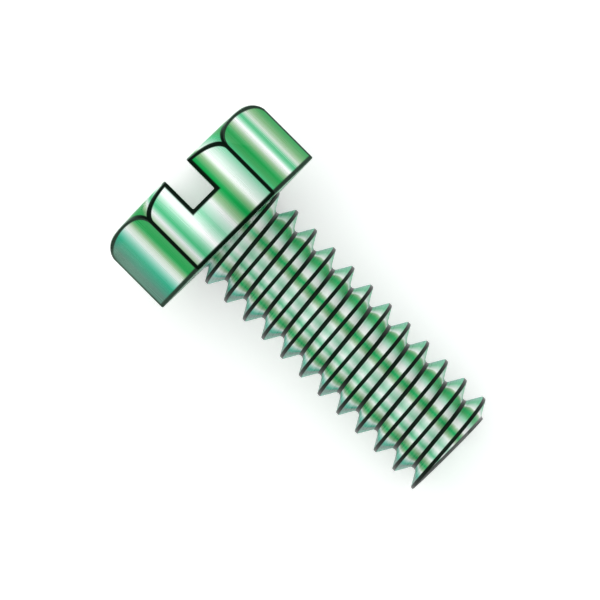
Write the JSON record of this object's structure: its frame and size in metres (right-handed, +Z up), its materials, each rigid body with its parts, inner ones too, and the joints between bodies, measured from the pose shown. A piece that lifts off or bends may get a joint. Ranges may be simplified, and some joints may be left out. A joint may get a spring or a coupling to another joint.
{
  "type": "slotted hex head machine screw",
  "caption": "Slotted hex head machine screw with a coarse right-hand thread up to the head and a flat tip. It clamps a part or an earth terminal to a tapped hole.",
  "frame": {"origin": "centre of the bearing face under the head, on the screw's axis", "axes": "+Z up with the screw lying at rest on a flat of its head and the low crest of its last thread; the shank points along +X and 6.93 degrees down from it, the driver slot's direction lies in the XZ plane, and +Y runs across two opposite corners of the hexagon"},
  "size_m": [0.0161, 0.0086, 0.0078],
  "materials": {
    "green_zinc_plating": "bright zinc plating dyed green, with lighter and deeper streaks along the axis"
  },
  "bodies": {
    "root": {"screw": "green_zinc_plating"}
  },
  "joints": []
}
